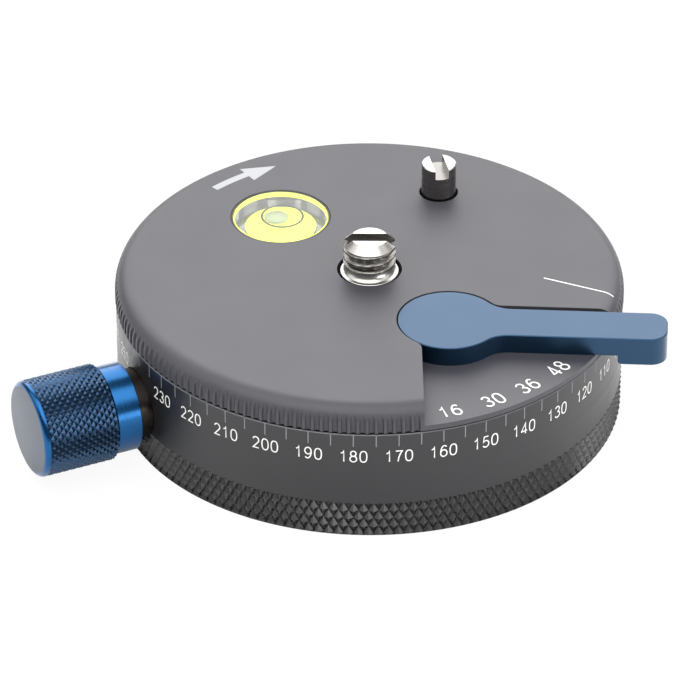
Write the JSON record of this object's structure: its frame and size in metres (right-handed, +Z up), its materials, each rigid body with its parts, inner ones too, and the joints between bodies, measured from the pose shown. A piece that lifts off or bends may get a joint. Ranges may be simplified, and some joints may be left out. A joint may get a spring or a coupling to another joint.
{
  "type": "panoramic tripod head",
  "caption": "Round panning head with a serrated turning plate over a degree band, a selector lever for the click stops, a side clamp knob, a bubble level, a camera screw and an anti-twist pin.",
  "frame": {"origin": "centre of the tripod socket's mouth, on the pan axis in the plane of the underside", "axes": "+Z up along the pan axis, out through the camera screw; -Y towards the degree band's 180 mark; +X to the right of it, towards the lever's end"},
  "size_m": [0.1169, 0.092, 0.0332],
  "materials": {
    "black_anodised": "black anodised, satin",
    "plate_anodised": "black anodised, bead blasted",
    "blue_anodised": "blue anodised, turned",
    "bright_steel": "turned stainless steel",
    "dark_steel": "blackened steel",
    "bronze": "plain bearing bronze",
    "dark_bronze": "dark burnished bronze",
    "ptfe": "white slide plastic",
    "clear_acrylic": "polished clear acrylic",
    "level_fluid": "yellow-green level fluid"
  },
  "bodies": {
    "base": {"base_housing": "black_anodised", "tripod_bush": "bright_steel", "pan_spindle": "bright_steel", "spindle_nut": "dark_steel", "spindle_screws": "dark_steel", "glide_ring_lower": "ptfe", "glide_ring_upper": "ptfe", "index_disc": "bright_steel", "index_disc_screws": "dark_steel", "clamp_bush": "dark_bronze"},
    "turntable": {"top_plate": "plate_anodised", "lever_bush": "bronze", "rotor_hub": "black_anodised", "bearing_bush": "bronze", "hub_screws": "dark_steel", "brake_drum": "black_anodised", "drum_screws": "dark_steel", "camera_screw": "bright_steel", "camera_screw_nut": "dark_steel", "level_cup": "dark_steel", "level_vial": "clear_acrylic", "level_fluid": "level_fluid"},
    "lever": {"selector_lever": "blue_anodised", "lever_washer": "bright_steel", "lever_clip": "dark_steel", "detent_tube": "dark_steel", "detent_spring": "bright_steel"},
    "detent_ball": {"detent_ball": "bright_steel"},
    "pin_carrier": {"pin_stop_ring": "dark_steel"},
    "anti_twist_pin": {"anti_twist_pin": "bright_steel"},
    "brake_shoe": {"brake_shoe": "bronze"},
    "clamp_knob": {"clamp_knob": "blue_anodised", "clamp_stud": "bright_steel"}
  },
  "joints": [
    {"name": "pan", "type": "hinge", "parent": "base", "child": "turntable", "pos_m": [0, 0, 0.0204], "axis": [0, 0, 1], "continuous": true},
    {"name": "lever_select", "type": "hinge", "parent": "turntable", "child": "lever", "pos_m": [0.0152, -0.0158, 0.0211], "axis": [0, 0, 1], "range_deg": [-86, 0]},
    {"name": "detent_ball_slide", "type": "slide", "parent": "lever", "child": "detent_ball", "axis": [0, 0, 1], "range_m": [-0.0004, 0], "stiffness_N_per_m": 300, "springref_m": -0.0015, "deforming": ["detent_spring"]},
    {"name": "pin_feed", "type": "slide", "parent": "turntable", "child": "pin_carrier", "axis": [0, 0, 1], "range_m": [-0.0062, 0]},
    {"name": "pin_turn", "type": "hinge", "parent": "pin_carrier", "child": "anti_twist_pin", "pos_m": [0.01111, 0.02722, 0.026], "axis": [0, 0, 1], "range_deg": [-1760, 0]},
    {"name": "brake_feed", "type": "slide", "parent": "base", "child": "brake_shoe", "axis": [0.8796, 0.4756, 0], "range_m": [-0.00041, 0.00027]},
    {"name": "clamp_turn", "type": "hinge", "parent": "brake_shoe", "child": "clamp_knob", "pos_m": [-0.05102, -0.02759, 0.0103], "axis": [0.8796, 0.4756, 0], "range_deg": [-180, 120]}
  ],
  "couplings": [
    {"joint": "pin_turn", "follows": "pin_feed", "rad_per_m": 4947.4},
    {"joint": "brake_feed", "follows": "clamp_turn", "m_per_rad": 0.00012732}
  ]
}
